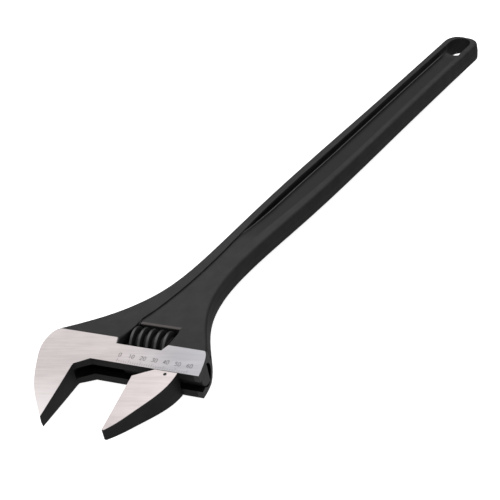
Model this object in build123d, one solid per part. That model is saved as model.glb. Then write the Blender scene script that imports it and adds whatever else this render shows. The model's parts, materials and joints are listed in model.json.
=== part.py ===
from build123d import *
from math import cos, pi, radians, sin
import os

# Adjustable wrench, 600 mm (24 in) class, in millimetres.
# Everything is drawn in the head frame: X along the rail from the fixed jaw to the movable jaw,
# Y square to the rail towards the handle, Z = 0 on the mid-plane of the thickness, and the origin
# at the front corner where the throat meets the rail. "to_row" then lays the tool along X.

# --- driving dimensions ---------------------------------------------------------------------
HEAD_ANGLE = 15.0            # between the handle and the jaw direction
RAIL_HALF = 11.565           # half thickness of the head at the rail's underside
GRIND_SLOPE = 0.10           # rise of each ground face per mm of Y
RIDGE_Y = 24.7               # where the ground faces end
RIDGE_Z = RAIL_HALF + GRIND_SLOPE * RIDGE_Y
BACK_SLOPE = 0.17            # fall of each forged face behind the ridge
HANDLE_HALF = 8.7            # half thickness of the handle
MEET_Y = RIDGE_Y + (RIDGE_Z - HANDLE_HALF) / BACK_SLOPE
BLEND = 13.0                 # reach of the curve between the slope and the handle's flat, each way
DRAFT = 4.0                  # forging draft on each side of the parting line, degrees
EDGE_R = 2.2                 # rounding of the forged outline

JAW_TIP_Y = -62.9            # tips of both jaws
FIXED_FACE_X = -11.8         # gripping face of the fixed jaw
MOVABLE_FACE_X = 41.5        # gripping face of the movable jaw at rest
JAW_GAP_CLOSED = 0.2         # gap left between the faces when closed
CLOSING_TRAVEL = MOVABLE_FACE_X - FIXED_FACE_X - JAW_GAP_CLOSED

HANDLE_MID = 14.0            # centre line of the handle, measured square to it
HANDLE_END = 562.0           # end of the handle along its own direction
END_R = 14.0                 # corner radius of the handle's end

RECESS_DEPTH = 5.0           # depth of the panel in each side of the handle
RECESS_HALF = 10.8           # half width of the panel at the surface
RECESS_DRAFT = 12.0          # slope of the panel's walls, degrees
RECESS_R = 1.2               # rounding along the panel's floor
STEP_DEPTH = 1.2             # depth of the panel where it runs on over the head
HANG_AT = 544.3              # centre of the hanging hole along the handle
HANG_R = 11.0                # end radius of the hanging hole
HANG_STRAIGHT = 5.0          # straight part of the hanging hole

PITCH = 7.2                  # worm pitch, and the rack's tooth spacing
WORM_Y = 33.6                # axis of the worm
WORM_R = 14.8                # over the thread
WORM_ROOT_R = 10.3
WORM_X0, WORM_X1 = 20.4, 53.3
WORM_HUB_X1 = 56.7           # end of the hub beside the thread
WORM_HUB_R = 8.2
THREAD_CREST = 2.0           # width of the thread at its crest
THREAD_ROOT = 4.2            # and at its root
THREAD_AT = 36.8             # where one thread crosses the front of the worm
MESH_GAP = 0.35              # clearance between the thread and the rack

WINDOW_X0, WINDOW_X1 = 19.6, 57.0
WINDOW_Y0, WINDOW_Y1 = 18.4, 48.8
WINDOW_LEAN = 1.6             # corner taken off the window at its handle side
WINDOW_LEAN_Y = 41.8          # from here on
WINDOW_BEVEL = 1.4           # along the window's handle-side edge, front and back
WINDOW_CORNER = 3.4          # cut-off left in the window's corner at the rail
RELIEF_X0 = 10.5             # start of the thumb relief
RELIEF_R = 7.5               # rounding of the thumb relief, and its depth at the rail
RELIEF_RISE = 0.10           # rise of its ledge behind the ridge, so that it runs out on the head

PIN_R = 3.5
PIN_FIT = 0.06               # radial running clearance of the worm on its pin
PIN_X0, PIN_X1 = 8.0, 84.6
PIN_THREAD_R = 4.3           # threaded end of the pin
PIN_THREAD_X0 = 70.0
SPRING_BORE_R = 6.2
SPRING_BORE_DEPTH = 9.0
SPRING_WIRE_R = 0.7

STEM_Y = 13.7
STEM_R = 9.2
STEM_FIT = 0.08              # radial sliding clearance of the stem in its bore
STEM_X0, STEM_X1 = 24.0, 92.3
RACK_END_X, RACK_END_Y = 89.0, 16.4    # flat on the stem beyond the rack
BORE_X0 = STEM_X0 - CLOSING_TRAVEL - 3.9
SLOT_HALF = 5.0              # half width of the slot in the rail's underside
SLOT_X0, SLOT_Y0 = -12.4, -9.5    # its blind end, in the throat's corner
WEB_HALF = 4.65              # half width of the web that runs in it
WEB_X0, WEB_X1 = 50.0, 73.5
JAW_TOP_Y = -0.5             # top of the movable jaw, just under the rail
MOVABLE_CORNER_X = 75.9      # back corner of the movable jaw, which reads the scale
INDEX_X, INDEX_Y, INDEX_R = 66.8, -3.4, 1.4

SCALE_LAST = 60              # last graduation
NUMERAL_Y = 8.0
NUMERAL_HEIGHT = 3.6
NUMERAL_STROKE = 0.44
TICK_LENGTH = 3.4
TICK_WIDTH = 0.3
MARK_DEPTH = 0.25


# --- frames ----------------------------------------------------------------------------------
def along_handle(s, p):
    """Head-frame point at s along the handle and p square to it."""
    a = radians(HEAD_ANGLE)
    return (s * sin(a) + p * cos(a), s * cos(a) - p * sin(a))


def box(x0, x1, y0, y1, z0, z1):
    """Block between two corners."""
    block = Box(x1 - x0, y1 - y0, z1 - z0)
    return Pos((x0 + x1) / 2, (y0 + y1) / 2, (z0 + z1) / 2) * block


def rod(x0, x1, y, radius):
    """Round bar parallel to the rail at height y on the mid-plane."""
    bar = Cylinder(radius, x1 - x0, rotation=(0, 90, 0))
    return Pos((x0 + x1) / 2, y, 0) * bar


def prism(points, half):
    """Straight-sided polygon, centred on the mid-plane."""
    return extrude(make_face(Polyline(*points, close=True)), amount=half, both=True)


def across_head(section, x0=-120, x1=320):
    """Section drawn as (y, z), extended along X."""
    placed = Plane(origin=(x0, 0, 0), x_dir=(0, 1, 0), z_dir=(1, 0, 0)) * section
    return extrude(placed, amount=x1 - x0, dir=(1, 0, 0))


# --- frame -----------------------------------------------------------------------------------
def outline():
    """Forging outline on the parting line: fixed jaw, left flank, handle, right flank, rail end."""
    tip = (FIXED_FACE_X, JAW_TIP_Y)
    jaw = Spline(tip, (-32.0, -36.6), (-45.3, -6.9), (-48.2, 8.5), tangents=[(-0.62, 0.78), (0.02, 1)])
    shoulder_end = (-41.0, 27.0)
    shoulder = Spline((-48.2, 8.5), (-46.3, 18.6), shoulder_end, tangents=[(0.02, 1), (0.76, 0.65)])
    left_s = HANDLE_END - END_R
    left_end = along_handle(left_s, HANDLE_MID - 18.6)
    right_end = along_handle(left_s, HANDLE_MID + 18.2)
    h = along_handle(1, 0)
    left = Spline(
        shoulder_end, (-19.0, 47.6), (-4.8, 62.5), (15.7, 88.6), (31.4, 126.8),
        along_handle(175, -3.2), along_handle(240, -5.3), along_handle(400, -4.8), left_end,
        tangents=[(0.76, 0.65), h])
    end_a = along_handle(HANDLE_END, HANDLE_MID - 18.6 + END_R)
    end_b = along_handle(HANDLE_END, HANDLE_MID + 18.2 - END_R)
    corner_a = TangentArc(left_end, end_a, tangent=h)
    flat = Line(end_a, end_b)
    corner_b = TangentArc(end_b, right_end, tangent=along_handle(0, 1))
    back = (-h[0], -h[1])
    rail_top = (91.0, 24.0)
    rail_end = (94.4, -1.5)
    right = Spline(
        right_end, along_handle(400, 33.2), along_handle(235, 33.6), along_handle(165, 31.7),
        (65.8, 105.0), (68.2, 78.0), (80.9, 45.5), rail_top,
        tangents=[back, (0.30, -0.95)])
    rail = Spline(rail_top, (93.5, 12.5), rail_end, tangents=[(0.30, -0.95), (0.02, -1)])
    close = Polyline(rail_end, (0, -1.5), (FIXED_FACE_X + 1, -8), tip)
    return Wire([jaw, shoulder, left, corner_a, flat, corner_b, right, rail] + list(close.edges()))


def side_profile():
    """Half section of the forging along Y: ground taper, ridge, fall to the handle's thickness."""
    low, high = -80.0, 620.0
    low_z = RAIL_HALF + GRIND_SLOPE * low
    start = (MEET_Y - BLEND, HANDLE_HALF + BACK_SLOPE * BLEND)
    end = (MEET_Y + BLEND, HANDLE_HALF)
    edges = [
        Line((low, 0), (low, low_z)), Line((low, low_z), (RIDGE_Y, RIDGE_Z)),
        Line((RIDGE_Y, RIDGE_Z), start), TangentArc(start, end, tangent=(1, -BACK_SLOPE)),
        Line(end, (high, HANDLE_HALF)), Line((high, HANDLE_HALF), (high, 0)), Line((high, 0), (low, 0)),
    ]
    return across_head(make_face(Wire(edges)))


def half_forging():
    """Front half of the forging, drafted from the parting line, with its black edges rounded."""
    drafted = mirror(extrude(make_face(outline()), amount=RIDGE_Z + 1, taper=DRAFT), about=Plane.XY)
    body = drafted & side_profile()
    rims = [e for e in body.edges() if is_black_rim(e)]
    return fillet(rims, EDGE_R)


def is_black_rim(edge):
    """True for the outline edges of the forged faces, behind the ridge."""
    size = edge.bounding_box()
    square_to_handle = size.max.Y - size.min.Y < 0.01
    return size.min.Z > HANDLE_HALF - 0.1 and size.min.Y > RIDGE_Y - 0.1 and not square_to_handle


def recess():
    """Cutter for the panel in the front of the handle, which runs on over the head."""
    far = HANG_AT
    left = Spline(
        along_handle(far, HANDLE_MID - HANG_R), along_handle(464, HANDLE_MID - RECESS_HALF - 0.6),
        along_handle(330, HANDLE_MID - RECESS_HALF), along_handle(212, HANDLE_MID - RECESS_HALF + 1.0),
        along_handle(140, HANDLE_MID - 5.5), (19.5, 58.0))
    right = Spline(
        (64.0, 58.0), along_handle(140, HANDLE_MID + 9.0), along_handle(240, HANDLE_MID + RECESS_HALF),
        along_handle(440, HANDLE_MID + RECESS_HALF + 0.9), along_handle(far, HANDLE_MID + HANG_R))
    head_end = Line(left @ 1, right @ 0)
    hole_end = Line(right @ 1, left @ 0)
    plan = make_face(Wire([left, head_end, right, hole_end]))
    narrowing = mirror(extrude(plan, amount=RECESS_DEPTH, taper=RECESS_DRAFT), about=Plane.XY)
    floor_edges = [e for e in narrowing.edges() if is_floor_edge(e)]
    mouth = extrude(plan, amount=4, dir=(0, 0, 1))
    pocket = Pos(0, 0, HANDLE_HALF) * (fillet(floor_edges, RECESS_R) + mouth)
    return (pocket + head_panel()) & above_floor()


def head_panel():
    """The panel's last part, from the foot of the handle down to the window."""
    bottom_y = WINDOW_Y1 - 2
    corners = [
        (19.9, 58.6), (18.3, 54.5), (WINDOW_X0, bottom_y), (WINDOW_X1 - WINDOW_LEAN - 1.4, bottom_y),
        (63.9, 58.6),
    ]
    return extrude(make_face(Polyline(*corners, close=True)), amount=20)


def above_floor():
    """Space above the panel's floor: level along the handle, then a step under the head's surface."""
    floor_z = HANDLE_HALF - RECESS_DEPTH
    step_z = HANDLE_HALF - STEP_DEPTH
    rise = Spline(
        (320, floor_z), (258, floor_z + 0.8), (204, floor_z + 1.5), (170, step_z),
        tangents=[(-1, 0.004), (-1, 0.02)])
    flat_end = (MEET_Y + BLEND, step_z)
    head_end = (MEET_Y - BLEND, step_z + BACK_SLOPE * BLEND)
    edges = [
        rise, Line((170, step_z), flat_end), TangentArc(flat_end, head_end, tangent=(-1, 0)),
        Line(head_end, (head_end[0], 30)), Line((head_end[0], 30), (620, 30)),
        Line((620, 30), (620, floor_z)), Line((620, floor_z), (320, floor_z)),
    ]
    return across_head(make_face(Wire(edges)))


def is_floor_edge(edge):
    """True for the edges round the panel's floor, before it is moved up to the handle's face."""
    return edge.bounding_box().max.Z < 0.01 - RECESS_DEPTH


def worm_axis_cuts():
    """Hole for the pin: plain through the head, then wider at its screwed end."""
    plain = rod(PIN_X0 - 0.5, PIN_THREAD_X0 + 0.5, WORM_Y, PIN_R + 0.03)
    screwed = rod(PIN_THREAD_X0 - 0.3, 120, WORM_Y, PIN_THREAD_R + 0.03)
    return plain + screwed


def window():
    """Opening for the worm, right through the head, with one corner left on."""
    edge = [
        (WINDOW_X0, WINDOW_Y0), (WINDOW_X1 - WINDOW_CORNER, WINDOW_Y0), (WINDOW_X1, RIDGE_Y),
        (WINDOW_X1, WINDOW_LEAN_Y), (WINDOW_X1 - WINDOW_LEAN, WINDOW_Y1), (WINDOW_X0, WINDOW_Y1),
    ]
    surface_z = RIDGE_Z - BACK_SLOPE * (WINDOW_Y1 - RIDGE_Y)
    bevel = make_face(Polyline(
        (WINDOW_Y1 - 1, surface_z - WINDOW_BEVEL - 1), (WINDOW_Y1 + WINDOW_BEVEL + 3, surface_z + 3),
        (WINDOW_Y1 - 1, surface_z + 3), close=True))
    front = across_head(bevel, WINDOW_X0, WINDOW_X1 - WINDOW_LEAN)
    return prism(edge, 30) + front + mirror(front, about=Plane.XY)


def relief():
    """Thumb relief beside the window, front and back: a rounded shoulder down to a rising ledge."""
    top_z = RIDGE_Z + 0.115
    ledge_z = top_z - RELIEF_R
    x1 = RELIEF_X0 + RELIEF_R
    shoulder = JernArc((RELIEF_X0, top_z), (1, 0), RELIEF_R, -90)
    edges = [
        shoulder, Line((x1, ledge_z), (WINDOW_X0 + 1, ledge_z)),
        Line((WINDOW_X0 + 1, ledge_z), (WINDOW_X0 + 1, 20)), Line((WINDOW_X0 + 1, 20), (RELIEF_X0, 20)),
        Line((RELIEF_X0, 20), (RELIEF_X0, top_z)),
    ]
    section = make_face(Wire(edges))
    at_rail = Plane(origin=(0, WINDOW_Y0, 0), x_dir=(1, 0, 0), z_dir=(0, -1, 0)) * section
    at_ridge = Pos(0, RIDGE_Y - WINDOW_Y0, 0) * at_rail
    front = extrude(at_rail, amount=RIDGE_Y - WINDOW_Y0, dir=(0, 1, 0))
    front = front + extrude(at_ridge, amount=50, dir=(0, 1, RELIEF_RISE))
    return front + mirror(front, about=Plane.XY)


def throat():
    """Machined space between the jaws and under the rail."""
    edge = [
        (FIXED_FACE_X, -90), (FIXED_FACE_X, -9.5), (-10.4, -7.0), (0, 0), (140, 0), (140, -90),
    ]
    return prism(edge, 40)


def stem_bore():
    """Round bore for the jaw's stem, and the slot that its web runs in, open at the rail's end."""
    bore = rod(BORE_X0, 130, STEM_Y, STEM_R + STEM_FIT)
    slot = box(SLOT_X0 + SLOT_HALF, 130, SLOT_Y0, STEM_Y, -SLOT_HALF, SLOT_HALF)
    run_out = Cylinder(SLOT_HALF, STEM_Y - SLOT_Y0, rotation=(90, 0, 0))
    return bore + slot + Pos(SLOT_X0 + SLOT_HALF, (STEM_Y + SLOT_Y0) / 2, 0) * run_out


def hang_hole():
    """Oval hole at the end of the handle."""
    x, y = along_handle(HANG_AT, HANDLE_MID)
    oval = SlotOverall(HANG_STRAIGHT + 2 * HANG_R, 2 * HANG_R, rotation=90 - HEAD_ANGLE)
    return Pos(x, y, -20) * extrude(oval, amount=40)


def make_frame():
    half = half_forging() - recess()
    body = half + mirror(half, about=Plane.XY)
    body = body - hang_hole()
    body = body - throat()
    body = body - stem_bore()
    body = body - window()
    body = body - relief()
    body = body - worm_axis_cuts()
    return body - scale_marks()


# --- scale stamped on the rail ---------------------------------------------------------------
def numeral(digit):
    """Strokes of one numeral, in a cell one unit wide and two units high."""
    if digit == 0:
        return [ThreePointArc((0, 0.6), (0.5, 0), (1, 0.6)), Line((1, 0.6), (1, 1.4)),
                ThreePointArc((1, 1.4), (0.5, 2), (0, 1.4)), Line((0, 1.4), (0, 0.6))]
    if digit == 1:
        return [Line((0.15, 1.55), (0.6, 2)), Line((0.6, 2), (0.6, 0))]
    if digit == 2:
        bow = ThreePointArc((0, 1.5), (0.62, 1.97), (0.9, 1.2))
        return [bow, Line((0.9, 1.2), (0, 0)), Line((0, 0), (1, 0))]
    if digit == 3:
        return [Line((0, 2), (1, 2)), Line((1, 2), (0.45, 1.2)),
                ThreePointArc((0.45, 1.2), (1, 0.6), (0.5, 0)), Line((0.5, 0), (0, 0.2))]
    if digit == 4:
        return [Line((0.75, 0), (0.75, 2)), Line((0.75, 2), (0, 0.6)), Line((0, 0.6), (1.05, 0.6))]
    if digit == 5:
        return [Line((0.95, 2), (0.1, 2)), Line((0.1, 2), (0.05, 1.15)),
                ThreePointArc((0.05, 1.15), (1, 0.65), (0.4, 0)), Line((0.4, 0), (0, 0.1))]
    loop = ThreePointArc((0.02, 0.6), (0.98, 0.6), (0.02, 0.65))
    return [ThreePointArc((0.85, 1.95), (0.1, 1.3), (0.02, 0.6)), loop]


def stroke(path):
    """One stroke of a numeral as a flat strip."""
    return trace(path, NUMERAL_STROKE)


def scale_label(value, x, y):
    """Numeral of one graduation, centred at x, y."""
    digits = [int(c) for c in str(value)]
    unit = NUMERAL_HEIGHT / 2
    advance = 1.5 * unit
    strips = []
    for i, digit in enumerate(digits):
        shift = (i - (len(digits) - 1) / 2) * advance - unit / 2
        for path in numeral(digit):
            placed = Pos(x + shift, y - unit, 0) * path.scale(unit)
            strips.append(stroke(placed))
    return strips


def scale_marks():
    """Graduations and numerals, sunk in the front of the rail."""
    zero = MOVABLE_CORNER_X - (MOVABLE_FACE_X - FIXED_FACE_X)
    flats = []
    for value in range(0, SCALE_LAST + 1, 10):
        flats += scale_label(value, zero + value, NUMERAL_Y)
    for tick in range(0, SCALE_LAST + 1, 2):
        long = TICK_LENGTH if tick % 10 == 0 else 0.62 * TICK_LENGTH
        flats.append(Pos(zero + tick, 0.6 + long / 2, 0) * Rectangle(TICK_WIDTH, long))
    tall = [extrude(flat, amount=20, dir=(0, 0, 1)) for flat in flats]
    sunk = ground_slab(MARK_DEPTH)
    return [mark & sunk for mark in tall]


def ground_slab(depth):
    """Space from the given depth under the front's ground plane to well above it."""
    low_y, top_z = -5, 19
    section = make_face(Polyline(
        (low_y, RAIL_HALF + GRIND_SLOPE * low_y - depth), (RIDGE_Y, RIDGE_Z - depth),
        (RIDGE_Y, top_z), (low_y, top_z), close=True))
    return across_head(section, 0, 110)


# --- movable jaw -----------------------------------------------------------------------------
def ground_wedge(y0, y1):
    """Tapered space between the two ground planes, from y0 to y1."""
    z0, z1 = RAIL_HALF + GRIND_SLOPE * y0, RAIL_HALF + GRIND_SLOPE * y1
    return across_head(make_face(Polyline((y0, -z0), (y0, z0), (y1, z1), (y1, -z1), close=True)))


def jaw_block():
    """Jaw below the rail: flat gripping face, shoulder, top edge and curved back."""
    x = MOVABLE_FACE_X
    top_left = (x + 15.4, JAW_TOP_Y)
    top_right = (MOVABLE_CORNER_X, JAW_TOP_Y)
    tip_back = (x + 1.8, JAW_TIP_Y)
    back = Spline(
        top_right, (73.6, -13.0), (67.4, -27.0), (57.6, -43.0), tip_back,
        tangents=[(-0.08, -1), (-0.68, -0.73)])
    edges = [
        Line((x, JAW_TIP_Y), (x, -10)), Line((x, -10), top_left), Line(top_left, top_right),
        back, Line(tip_back, (x, JAW_TIP_Y)),
    ]
    block = extrude(make_face(Wire(edges)), amount=30, both=True) & ground_wedge(-75, 10)
    dot = Pos(INDEX_X, INDEX_Y, 0) * extrude(Circle(INDEX_R), amount=20)
    return block - (dot & ground_slab(0.5))


def jaw_web():
    """Web that runs in the rail's slot, with a rounded leading edge."""
    web = box(WEB_X0 + WEB_HALF, WEB_X1, JAW_TOP_Y - 1.5, STEM_Y, -WEB_HALF, WEB_HALF)
    nose = Cylinder(WEB_HALF, STEM_Y - JAW_TOP_Y + 1.5, rotation=(90, 0, 0))
    return web + Pos(WEB_X0 + WEB_HALF, (STEM_Y + JAW_TOP_Y - 1.5) / 2, 0) * nose


def rack_grooves():
    """Slanted grooves across the stem that the worm's thread runs in."""
    top_r = WORM_Y - STEM_Y - STEM_R - 0.6
    floor_r = WORM_R + MESH_GAP
    slope = (THREAD_ROOT - THREAD_CREST) / 2 / (WORM_R - WORM_ROOT_R)
    half_top = THREAD_ROOT / 2 - slope * (top_r - WORM_ROOT_R) + MESH_GAP
    half_floor = THREAD_CREST / 2 + MESH_GAP - slope * MESH_GAP
    section = [
        (-half_top, WORM_Y - top_r), (half_top, WORM_Y - top_r),
        (half_floor, WORM_Y - floor_r), (-half_floor, WORM_Y - floor_r),
    ]
    lead = PITCH / (2 * pi * (WORM_R - 2))
    groove = extrude(make_face(Polyline(*section, close=True)), amount=14, both=True, dir=(-lead, 0, 1))
    at_mesh = THREAD_AT + PITCH / 4
    first = int((STEM_X0 - at_mesh) / PITCH) - 1
    last = int((STEM_X1 - at_mesh) / PITCH) + 1
    return [Pos(at_mesh + n * PITCH, 0, 0) * groove for n in range(first, last + 1)]


def make_movable_jaw():
    stem = rod(STEM_X0, STEM_X1, STEM_Y, STEM_R)
    stem = chamfer(stem.edges().filter_by(GeomType.CIRCLE), 0.8)
    stem = stem - rack_grooves()
    stem = stem - box(RACK_END_X, STEM_X1 + 1, RACK_END_Y, STEM_Y + STEM_R + 1, -STEM_R, STEM_R)
    return jaw_block() + jaw_web() + stem


# --- worm and its axle -----------------------------------------------------------------------
def worm_thread():
    """Helical ridge about Z, longer than the worm at both ends."""
    length = WORM_X1 - WORM_X0 + 2 * PITCH
    helix = Helix(PITCH, length, WORM_ROOT_R)
    slope = (THREAD_ROOT - THREAD_CREST) / 2 / (WORM_R - WORM_ROOT_R)
    below = 0.4
    inner_half = THREAD_ROOT / 2 + slope * below
    outer_half = THREAD_CREST / 2
    height = WORM_R - WORM_ROOT_R
    corners = [(-below, -inner_half), (-below, inner_half), (height, outer_half), (height, -outer_half)]
    section = make_face(Polyline(*corners, close=True))
    start = Plane(origin=helix @ 0, x_dir=(1, 0, 0), z_dir=(0, -1, 0))
    return sweep(start * section, path=helix, is_frenet=True)


def make_knurl():
    """Worm with its thread, hub, axle bore and the counterbore for the spring."""
    up = (Align.CENTER, Align.CENTER, Align.MIN)
    down = (Align.CENTER, Align.CENTER, Align.MAX)
    length = WORM_X1 - WORM_X0
    # about Z the thread starts on the side away from the handle, a quarter turn before the front
    at_start = THREAD_AT + PITCH / 4 - WORM_X0
    lead_in = at_start % PITCH - PITCH
    core = Pos(0, 0, -PITCH) * Cylinder(WORM_ROOT_R, length + 2 * PITCH, align=up)
    body = core + Pos(0, 0, lead_in) * worm_thread()
    body = body - Box(60, 60, 4 * PITCH, align=down) - Pos(0, 0, length) * Box(60, 60, 4 * PITCH, align=up)
    body = body + Cylinder(WORM_HUB_R, WORM_HUB_X1 - WORM_X0, align=up)
    body = body - Cylinder(PIN_R + PIN_FIT, 80) - Cylinder(SPRING_BORE_R, SPRING_BORE_DEPTH, align=up)
    return worm_place() * body


def worm_place():
    """Placement of things drawn about Z, from the worm's left end, onto the worm's axis."""
    return Location(Plane(origin=(WORM_X0, WORM_Y, 0), x_dir=(0, -1, 0), z_dir=(1, 0, 0)))


def make_knurl_pin():
    """Axle screwed in from the head's edge, with a screwdriver slot in its end."""
    shank = rod(PIN_X0, PIN_THREAD_X0 + 1, WORM_Y, PIN_R)
    screwed = rod(PIN_THREAD_X0, PIN_X1, WORM_Y, PIN_THREAD_R)
    slot = box(PIN_X1 - 2.0, PIN_X1 + 1, WORM_Y - 0.6, WORM_Y + 0.6, -6, 6)
    return shank + screwed - slot


def make_knurl_spring():
    """Compression spring round the axle, in the worm's counterbore."""
    turns, clear = 5, 0.35
    start = -(WORM_X0 - WINDOW_X0) + clear + SPRING_WIRE_R
    length = SPRING_BORE_DEPTH - clear - SPRING_WIRE_R - start
    coil_r = (PIN_R + SPRING_BORE_R) / 2
    helix = Helix(length / turns, length, coil_r)
    wire = Plane(origin=helix @ 0, x_dir=(1, 0, 0), z_dir=helix % 0) * Circle(SPRING_WIRE_R)
    return worm_place() * Pos(0, 0, start) * sweep(wire, path=helix, is_frenet=True)


# --- tool ------------------------------------------------------------------------------------
def to_row(shapes):
    """Lay the handle along +X and put the origin under the middle of the whole tool."""
    turned = {name: Rot(0, 0, HEAD_ANGLE - 90) * shape for name, shape in shapes.items()}
    boxes = [shape.bounding_box() for shape in turned.values()]
    low = [min(getattr(b.min, a) for b in boxes) for a in "XYZ"]
    high = [max(getattr(b.max, a) for b in boxes) for a in "XYZ"]
    shift = Pos(-(low[0] + high[0]) / 2, -(low[1] + high[1]) / 2, -low[2])
    placed = {name: shift * shape for name, shape in turned.items()}
    return placed, shift


def make_tool():
    return {
        "frame": make_frame(),
        "movable_jaw": make_movable_jaw(),
        "knurl": make_knurl(),
        "knurl_pin": make_knurl_pin(),
        "knurl_spring": make_knurl_spring(),
    }


if __name__ == "__main__":
    os.makedirs("parts", exist_ok=True)
    placed, _ = to_row(make_tool())
    for name, shape in placed.items():
        export_step(shape, f"parts/{name}.step")
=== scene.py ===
import json
from math import cos, radians, sin

import bpy
from mathutils import Matrix, Vector

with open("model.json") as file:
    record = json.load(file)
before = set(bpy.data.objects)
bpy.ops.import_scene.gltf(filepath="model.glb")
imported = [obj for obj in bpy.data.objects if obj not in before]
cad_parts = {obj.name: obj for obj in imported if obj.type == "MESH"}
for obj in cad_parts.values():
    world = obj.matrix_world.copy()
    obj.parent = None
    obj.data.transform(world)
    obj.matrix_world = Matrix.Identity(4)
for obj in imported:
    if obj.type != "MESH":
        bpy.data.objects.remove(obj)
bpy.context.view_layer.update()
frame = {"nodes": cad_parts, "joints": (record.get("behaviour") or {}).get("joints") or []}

# --- the head's own frame ---------------------------------------------------------------------
# X runs along the rail, Y square to it towards the handle, Z out of the front. The origin is on
# the mid-plane at the corner of throat and rail, found from the worm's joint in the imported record.
MM = 0.001
JOINTS = {joint["name"]: joint for joint in frame["joints"]}
RAIL = Vector(JOINTS["jaw_slide"]["axis"])
BACK = Vector((-RAIL.y, RAIL.x, 0))
UP = Vector((0, 0, 1))
WORM_X0, WORM_Y = 20.4, 33.6     # centre of the worm's first end face, in mm
HEAD = Vector(JOINTS["knurl_turn"]["pos_m"]) - MM * (WORM_X0 * RAIL + WORM_Y * BACK)

# --- sizes that the finishes follow, in mm in the head's frame --------------------------------
RAIL_HALF = 11.565           # half thickness at the rail's underside
GRIND_SLOPE = 0.10           # rise of the ground faces per mm
RIDGE_Y = 24.7               # where they end
BACK_SLOPE = 0.17            # fall of the forged faces behind the ridge
GRIND_ANGLE = 10.5           # between the grinding lines and the rail, degrees
FRAME_END_X = 89.5           # beyond this the rail's end face is lighter grey
JAW_END_X = 92.2             # and the stem's end

STEM_Y, BORE_R = 13.7, 9.32  # bore of the stem, and just outside its wall
SLOT_HALF = 5.02             # half width of the slot below it
SLOT_Y0 = -9.6

WINDOW_X0, WINDOW_X1 = 19.6, 55.4    # ends of the window's handle-side edge
WINDOW_Y0, WINDOW_Y1 = 18.4, 48.6    # its sides at the rail and at the handle
BEVEL_WIDTH = 3.0            # bevel of the window's handle-side edge, along the surface
BEVEL_DEPTH = 1.9
RELIEF_X0, RELIEF_X1 = 8.0, 21.0     # thumb relief beside the window
RELIEF_Y1 = 47.0

WORM_R, WORM_ROOT_R = 14.8, 12.0
WORM_X1 = 53.3               # end face of the thread

HANDLE_ANGLE = 15.0          # between the handle and the head's Y, degrees
PANEL_Y0, PANEL_Y1 = 120, 500        # ends of the handle's panel
PANEL_LEVEL = 6.8            # the panel's floor lies nearer to the mid-plane than this
PANEL_LEFT, PANEL_RIGHT = 2.5, 24.5
FOOT_NEAR, FOOT_FAR = 6.15, 4.65    # place of the wall's foot across the handle, at either end

# --- tones ------------------------------------------------------------------------------------
# painted reflection: colour factors on the ground steel, towards the fixed jaw and towards the rail's end
FRAME_SHEEN_TINTS = ((0.92, 0.84, 0.835, 1), (0.74, 0.725, 0.765, 1))
JAW_SHEEN_TINTS = ((0.90, 0.82, 0.815, 1), (1.10, 0.985, 0.985, 1))
# painted highlight on the fixed jaw's tip
TIP_HIGHLIGHT = (0.90, 0.86, 0.86, 1)


def grey(value, warm=0.0):
    """Neutral colour, a little red or blue of it."""
    return (value * (1 + warm), value, value * (1 - warm), 1)


# painted shade: near black put in the bore, the slot, the thumb relief and the panel's floor
PAINTED_SHADE = grey(0.004)
END_GREY = grey(0.075)
MARKS = grey(0.20)
# painted highlight along the foot of the panel's wall
FOOT_HIGHLIGHT = grey(0.20)
# painted highlight on the window's bevel
BEVEL_HIGHLIGHT = (0.135, 0.12, 0.12, 1)
# painted shade between the worm's threads
WORM_ROOT_SHADE = grey(0.006)
WORM_END = (0.075, 0.066, 0.062, 1)
WORM_CREST = grey(0.09)


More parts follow.
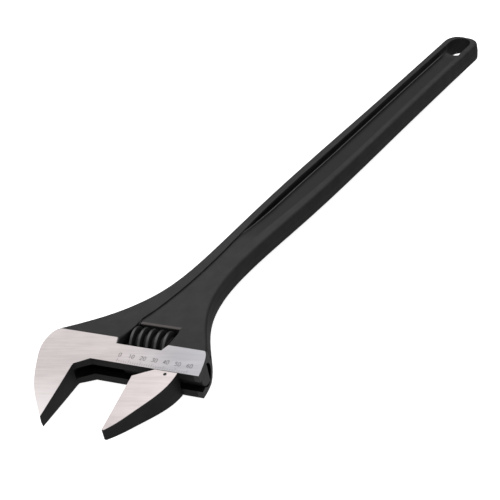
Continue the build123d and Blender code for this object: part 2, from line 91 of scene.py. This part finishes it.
# --- shader helpers ---------------------------------------------------------------------------
class Shader:
    """One material's node tree, with short calls for the nodes used here."""

    def __init__(self, name):
        self.material = bpy.data.materials.new(name)
        self.material.use_nodes = True
        self.tree = self.material.node_tree
        self.bsdf = self.tree.nodes["Principled BSDF"]

    def add(self, kind, inputs=(), **settings):
        """A node with its inputs set to values or joined to sockets."""
        node = self.tree.nodes.new(kind)
        for key, value in settings.items():
            setattr(node, key, value)
        for key, value in dict(inputs).items():
            if isinstance(value, bpy.types.NodeSocket):
                self.tree.links.new(value, node.inputs[key])
            else:
                node.inputs[key].default_value = value
        return node

    def math(self, operation, a, b=0.0, c=0.0):
        return self.add("ShaderNodeMath", {0: a, 1: b, 2: c}, operation=operation).outputs[0]

    def product(self, first, *others):
        """All the values multiplied."""
        for other in others:
            first = self.math("MULTIPLY", first, other)
        return first

    def length(self, a, b):
        """Length of the side across a right angle."""
        return self.math("SQRT", self.math("MULTIPLY_ADD", a, a, self.math("MULTIPLY", b, b)))

    def turned(self, x, y, angle):
        """First coordinate of a point once the axes are turned by an angle in degrees."""
        a = radians(angle)
        return self.math("MULTIPLY_ADD", x, cos(a), self.math("MULTIPLY", y, sin(a)))

    def ramp(self, value, low, high, to_low=0.0, to_high=1.0):
        """Smooth step of value from low to high."""
        node = self.add(
            "ShaderNodeMapRange", {0: value, 1: low, 2: high, 3: to_low, 4: to_high},
            interpolation_type="SMOOTHSTEP")
        return node.outputs[0]

    def below(self, value, limit, edge):
        """1 up to a limit, 0 an edge's width beyond it."""
        return self.ramp(value, limit, limit + edge, 1.0, 0.0)

    def above(self, value, limit, edge):
        """0 up to a limit, 1 an edge's width beyond it."""
        return self.ramp(value, limit, limit + edge)

    def mix(self, factor, a, b):
        """Number a where factor is 0, b where it is 1."""
        return self.add("ShaderNodeMix", {0: factor, 2: a, 3: b}, data_type="FLOAT").outputs[0]

    def blend(self, factor, a, b, mode="MIX"):
        """The same for colours."""
        node = self.add("ShaderNodeMix", {0: factor, 6: a, 7: b}, data_type="RGBA", blend_type=mode)
        return node.outputs[2]

    def noise(self, vector, scale, detail, rough):
        node = self.add(
            "ShaderNodeTexNoise",
            {"Vector": vector, "Scale": scale, "Detail": detail, "Roughness": rough})
        return node.outputs["Fac"]

    def head_vector(self):
        """Place on the object in the head's frame, in mm, as three numbers."""
        place = self.add("ShaderNodeTexCoord").outputs["Object"]
        moved = self.add("ShaderNodeVectorMath", {0: place, 1: HEAD}, operation="SUBTRACT").outputs[0]
        return [
            self.add("ShaderNodeVectorMath", {0: moved, 1: axis / MM}, operation="DOT_PRODUCT").outputs[1]
            for axis in (RAIL, BACK, UP)]

    def vector(self, x, y, z):
        return self.add("ShaderNodeCombineXYZ", {0: x, 1: y, 2: z}).outputs[0]

    def set(self, key, value):
        """Joins or sets one input of the surface shader."""
        if isinstance(value, bpy.types.NodeSocket):
            self.tree.links.new(value, self.bsdf.inputs[key])
        else:
            self.bsdf.inputs[key].default_value = value

    def bump(self, height, strength=1.0):
        """Height in mm, as a bump on the surface."""
        metres = self.math("MULTIPLY", height, MM)
        node = self.add("ShaderNodeBump", {"Height": metres, "Strength": strength, "Distance": 1.0})
        self.set("Normal", node.outputs[0])


# --- finishes ---------------------------------------------------------------------------------
def black_steel(shader, place):
    """Phosphated forging: colour, roughness and height in mm of its grain."""
    fine = shader.noise(place, 3.2, 3, 0.65)
    patches = shader.noise(place, 0.09, 3, 0.55)
    waves = shader.noise(place, 0.22, 2, 0.5)
    tone = shader.math("MULTIPLY_ADD", fine, 0.45, shader.math("MULTIPLY", patches, 0.55))
    color = shader.blend(shader.ramp(tone, 0.3, 0.7), grey(0.0125, 0.01), grey(0.026))
    rough = shader.mix(fine, 0.46, 0.62)
    height = shader.math("MULTIPLY_ADD", fine, 0.035, shader.math("MULTIPLY", waves, 0.05))
    return color, rough, height


def ground_steel(shader, x, y, sheen_tints):
    """Ground face: colour, roughness and height in mm of its fine lines."""
    along = shader.turned(x, y, GRIND_ANGLE)
    across = shader.turned(y, x, -GRIND_ANGLE)
    lines = shader.noise(shader.vector(shader.math("MULTIPLY", along, 0.03), across, 0.0), 3.0, 4, 0.7)
    bands = shader.noise(shader.vector(shader.math("MULTIPLY", along, 0.06), across, 4.0), 0.35, 3, 0.6)
    cloud = shader.noise(shader.vector(x, y, 9.0), 0.035, 2, 0.5)
    tone = shader.math("MULTIPLY_ADD", lines, 0.5, shader.math("MULTIPLY", bands, 0.5))
    color = shader.blend(shader.ramp(tone, 0.3, 0.7), grey(0.52), grey(0.66))
    color = shader.blend(shader.ramp(cloud, 0.35, 0.7, 0.0, 0.25), color, grey(0.78))
    # painted reflection: the ground steel lighter or darker along the rail
    sheen_tint = shader.blend(shader.ramp(x, 15, 80), *sheen_tints)
    color = shader.blend(1.0, color, sheen_tint, "MULTIPLY")
    # painted highlight: lighter ground steel at the fixed jaw's tip
    tip_highlight = shader.product(shader.below(x, -8, 12), shader.ramp(y, -64, -12, 0.6, 0.0))
    color = shader.blend(tip_highlight, color, TIP_HIGHLIGHT)
    rough = shader.mix(lines, 0.30, 0.46)
    height = shader.math("MULTIPLY", lines, 0.012)
    return color, rough, height


def inside_rail(shader, y, z):
    """1 in the stem's bore and the slot below it, 0 elsewhere."""
    reach = shader.length(shader.math("SUBTRACT", y, STEM_Y), z)
    bore = shader.below(reach, BORE_R, 0.1)
    in_width = shader.below(shader.math("ABSOLUTE", z), SLOT_HALF, 0.08)
    in_height = shader.product(shader.above(y, SLOT_Y0, 0.2), shader.below(y, STEM_Y - 0.1, 0.2))
    return shader.math("MAXIMUM", bore, shader.product(in_width, in_height))


def forged_face(shader, y):
    """Distance of the forged faces from the mid-plane, behind the ridge."""
    at_rail = RAIL_HALF + (GRIND_SLOPE + BACK_SLOPE) * RIDGE_Y
    return shader.math("MULTIPLY_ADD", y, -BACK_SLOPE, at_rail)


def window_bevel(shader, x, y, level):
    """1 on the bevel along the window's handle-side edge, 0 elsewhere."""
    depth = shader.math("SUBTRACT", forged_face(shader, y), level)
    cut = shader.product(shader.above(depth, 0.05, 0.15), shader.below(depth, BEVEL_DEPTH, 0.3))
    across = shader.product(shader.above(x, WINDOW_X0 - 0.1, 0.2), shader.below(x, WINDOW_X1 - 0.1, 0.2))
    near = shader.product(shader.above(y, WINDOW_Y1, 0.1), shader.below(y, WINDOW_Y1 + BEVEL_WIDTH, 0.2))
    return shader.product(cut, across, near)


def thumb_relief(shader, ground_level, x, y, level):
    """1 in the hollow beside the window, where shade is painted, 0 elsewhere."""
    surface = shader.math("MINIMUM", ground_level, forged_face(shader, y))
    depth = shader.math("SUBTRACT", surface, level)
    beside = shader.product(shader.above(x, RELIEF_X0, 2.0), shader.below(x, RELIEF_X1 - 0.1, 0.2))
    along = shader.product(shader.above(y, WINDOW_Y0 - 0.2, 0.3), shader.below(y, RELIEF_Y1, 3.0))
    return shader.product(shader.ramp(depth, 0.1, 1.4), beside, along)


def panel_finish(shader, color, x, y, level):
    """Painted shade: a darker floor in the handle's panel, darkest near its wall, and less reflection
    towards the handle's end; with a painted highlight line along the foot of its wall.
    """
    across = shader.turned(x, y, -HANDLE_ANGLE)
    along = shader.product(shader.above(y, PANEL_Y0, 100), shader.below(y, PANEL_Y1, 12))
    inner = shader.product(shader.above(across, PANEL_LEFT, 1.5), shader.below(across, PANEL_RIGHT, 1.5))
    sunk = shader.product(shader.below(level, PANEL_LEVEL, 1.6), along, inner)
    off = shader.math("SUBTRACT", across, shader.ramp(y, 170, 470, FOOT_NEAR, FOOT_FAR))
    line = shader.below(shader.math("ABSOLUTE", off), 0.25, 0.25)
    # painted highlight line along the foot of the panel's wall
    foot = shader.product(line, sunk, shader.above(y, 170, 15))
    # painted shade on the floor near the wall's foot
    near_wall = shader.ramp(off, 0.2, 6.0, 0.62, 0.0)
    panel_shade = shader.product(sunk, shader.math("ADD", near_wall, 0.14))
    # painted shade: less reflection towards the handle's end
    gloss = shader.product(shader.math("SUBTRACT", 1.0, panel_shade), shader.ramp(y, 80, 300, 1.0, 0.88))
    # painted shade darkens the panel's floor
    color = shader.blend(shader.math("MULTIPLY", sunk, 0.8), color, PAINTED_SHADE)
    return shader.blend(foot, color, FOOT_HIGHLIGHT), gloss


def forging_material(name, sheen_tints, end_x, shade):
    """Black forging, ground bright up to the ridge, with painted shade in bore, slot, thumb relief and
    panel floor and a painted highlight on the window's bevel. Shade is 1 where it has bore, window and
    relief.
    """
    shader = Shader(name)
    x, y, z = shader.head_vector()
    level = shader.math("ABSOLUTE", z)
    ground_level = shader.math("MULTIPLY_ADD", y, GRIND_SLOPE, RAIL_HALF)
    depth = shader.math("SUBTRACT", ground_level, level)
    before_ridge = shader.below(y, RIDGE_Y - 0.1, 0.2)
    ground = shader.product(shader.below(depth, 0.05, 0.06), before_ridge)
    marks = shader.product(shader.below(depth, 0.28, 0.08), before_ridge)
    end = shader.product(shader.above(x, end_x - 0.5, 0.5), shader.below(y, 24, 16))
    # painted shade in the stem's bore and the slot below it
    dark = shader.product(inside_rail(shader, y, z), shade)
    bevel = shader.product(window_bevel(shader, x, y, level), shade)
    hollow = shader.product(thumb_relief(shader, ground_level, x, y, level), 0.8 * shade)

    black, black_rough, grain = black_steel(shader, shader.vector(x, y, z))
    black, gloss = panel_finish(shader, black, x, y, level)
    # painted shade: less reflection in the thumb relief
    gloss = shader.product(gloss, shader.math("SUBTRACT", 1.0, hollow))
    # painted shade in the relief, bore and slot, lighter grey end faces, the scale's marks, and a painted
    # highlight on the bevel
    for place, tone in ((hollow, PAINTED_SHADE), (end, END_GREY), (marks, MARKS), (dark, PAINTED_SHADE), (bevel, BEVEL_HIGHLIGHT)):
        black = shader.blend(place, black, tone)
    steel, steel_rough, lines = ground_steel(shader, x, y, sheen_tints)

    shader.set("Base Color", shader.blend(ground, black, steel))
    shader.set("Roughness", shader.mix(ground, black_rough, steel_rough))
    # painted shade: weaker reflection in the bore and slot, and the panel's gloss factor
    shader.set("Specular IOR Level", shader.product(shader.mix(dark, 0.42, 0.1), gloss))
    # metallic on the bevel is part of its painted highlight
    shader.set("Metallic", shader.math("MAXIMUM", ground, shader.math("MULTIPLY", bevel, 0.8)))
    shader.bump(shader.mix(ground, grain, lines))
    return shader.material


def worm_material():
    """Black worm with painted shade between its threads, whose crests are worn to bare steel."""
    shader = Shader("worn_worm")
    x, y, z = shader.head_vector()
    place = shader.vector(x, y, z)
    radius = shader.length(shader.math("SUBTRACT", y, WORM_Y), z)
    scuffs = shader.noise(place, 1.1, 4, 0.7)
    worn = shader.ramp(shader.math("MULTIPLY_ADD", scuffs, 0.5, radius), WORM_R - 0.05, WORM_R + 0.3)
    color, rough, grain = black_steel(shader, place)
    # painted shade between the threads
    color = shader.blend(shader.below(radius, WORM_ROOT_R, 2.3), color, WORM_ROOT_SHADE)
    color = shader.blend(shader.above(x, WORM_X1 - 0.1, 0.08), color, WORM_END)
    shader.set("Base Color", shader.blend(worn, color, WORM_CREST))
    shader.set("Roughness", shader.mix(worn, rough, 0.34))
    shader.set("Metallic", shader.math("MULTIPLY", worn, 0.85))
    shader.bump(grain, 0.6)
    return shader.material


def turned_material(name, tone, ring_scale):
    """Turned or drawn steel: fine rings along the rail's direction, with oil on it in places."""
    shader = Shader(name)
    x, y, z = shader.head_vector()
    rings = shader.noise(shader.vector(x, shader.math("MULTIPLY", y, 0.05), 0.0), ring_scale, 3, 0.6)
    oil = shader.noise(shader.vector(x, y, z), 0.4, 3, 0.6)
    color = shader.blend(shader.ramp(rings, 0.3, 0.7), grey(tone * 0.8), grey(tone * 1.15))
    color = shader.blend(shader.ramp(oil, 0.45, 0.7, 0.0, 0.4), color, grey(tone * 0.5, 0.06))
    shader.set("Base Color", color)
    shader.set("Roughness", shader.mix(rings, 0.28, 0.42))
    shader.set("Metallic", 1.0)
    shader.bump(shader.math("MULTIPLY", rings, 0.02))
    return shader.material


def finish_nodes():
    """Gives each CAD node its finish."""
    finishes = {
        "frame": forging_material("forged_and_ground", FRAME_SHEEN_TINTS, FRAME_END_X, 1.0),
        "movable_jaw": forging_material("jaw_forged_and_ground", JAW_SHEEN_TINTS, JAW_END_X, 0.0),
        "knurl": worm_material(),
        "knurl_pin": turned_material("turned_pin", 0.34, 6.0),
        "knurl_spring": turned_material("drawn_wire", 0.42, 9.0),
    }
    for name, material in finishes.items():
        for slot in frame["nodes"][name].material_slots:
            slot.material = material


# --- floor, light and camera ------------------------------------------------------------------
def plain_floor():
    """White floor with next to no shadow; the world lights the object from below in its place."""
    half = 6.0
    corners = [(-half, -half, 0), (half, -half, 0), (half, half, 0), (-half, half, 0)]
    mesh = bpy.data.meshes.new("floor")
    mesh.from_pydata(corners, [], [(0, 1, 2, 3)])
    floor = bpy.data.objects.new("floor", mesh)
    bpy.context.scene.collection.objects.link(floor)
    shader = Shader("floor_white")
    shader.set("Base Color", grey(0.9))
    shader.set("Roughness", 0.9)
    shader.set("Emission Color", grey(1.0))
    shader.set("Emission Strength", 0.85)
    mesh.materials.append(shader.material)
    floor.visible_diffuse = False
    floor.visible_glossy = False


# brightness of the world from straight down (0) through the horizon (0.5) to straight up (1)
SKY = ((0.0, 0.62), (1.0, 1.0), (0.48, 0.68), (0.51, 0.05), (0.575, 0.06), (0.725, 0.40), (0.85, 0.90))


def soft_sky():
    """World light: bright overhead, dark at the horizon, and the floor's own glow from below."""
    world = bpy.data.worlds.new("studio")
    bpy.context.scene.world = world
    world.use_nodes = True
    tree = world.node_tree
    back = tree.nodes["Background"]
    place = tree.nodes.new("ShaderNodeTexCoord")
    split = tree.nodes.new("ShaderNodeSeparateXYZ")
    height = tree.nodes.new("ShaderNodeMapRange")
    ramp = tree.nodes.new("ShaderNodeValToRGB")
    stops = ramp.color_ramp.elements
    for index, (position, value) in enumerate(SKY):
        stop = stops[index] if index < 2 else stops.new(position)
        stop.position, stop.color = position, grey(value)
    height.inputs["From Min"].default_value = -1.0
    tree.links.new(place.outputs["Generated"], split.inputs[0])
    tree.links.new(split.outputs[2], height.inputs[0])
    tree.links.new(height.outputs[0], ramp.inputs[0])
    tree.links.new(ramp.outputs[0], back.inputs[0])
    back.inputs[1].default_value = 0.45


def panel(name, direction, distance, width, height, power):
    """Soft light panel that faces the head from a direction."""
    light = bpy.data.lights.new(name, "AREA")
    light.shape = "RECTANGLE"
    light.size = width
    light.size_y = height
    light.energy = power
    lamp = bpy.data.objects.new(name, light)
    bpy.context.scene.collection.objects.link(lamp)
    way = Vector(direction).normalized()
    lamp.location = HEAD + way * distance
    lamp.rotation_mode = "QUATERNION"
    lamp.rotation_quaternion = way.to_track_quat("Z", "Y")


def lights():
    """One large sheen behind the tool, and weak fills so that no side goes black."""
    panel("sheen_panel", (0.38, 0.55, 0.745), 1.6, 2.3, 1.6, 11.0)
    panel("front_fill", (-0.50, -0.62, 0.60), 1.8, 2.0, 1.4, 5.0)
    panel("left_fill", (-0.66, 0.60, 0.45), 1.8, 1.8, 1.2, 3.0)
    panel("right_fill", (0.66, -0.60, 0.45), 1.8, 1.8, 1.2, 3.0)


def main_camera():
    """Camera in front of the head: place from the head, then azimuth, elevation and roll."""
    azimuth, elevation, roll = radians(46.073), radians(36.212), radians(-11.14)
    forward = Vector((sin(azimuth) * cos(elevation), cos(azimuth) * cos(elevation), -sin(elevation)))
    turn = Matrix.Rotation(roll, 3, "Z").to_quaternion()
    data = bpy.data.cameras.new("camera")
    data.lens = 90.0
    data.sensor_width = 36.0
    data.clip_start = 0.05
    data.clip_end = 30.0
    camera = bpy.data.objects.new("camera", data)
    bpy.context.scene.collection.objects.link(camera)
    camera.rotation_mode = "QUATERNION"
    camera.rotation_quaternion = forward.to_track_quat("-Z", "Y") @ turn
    camera.location = HEAD + Vector((-0.44346, -0.61855, 0.63191))
    bpy.context.scene.camera = camera


def studio():
    plain_floor()
    soft_sky()
    lights()
    main_camera()
    view = bpy.context.scene.view_settings
    view.view_transform = "Standard"
    view.look = "None"


finish_nodes()
studio()
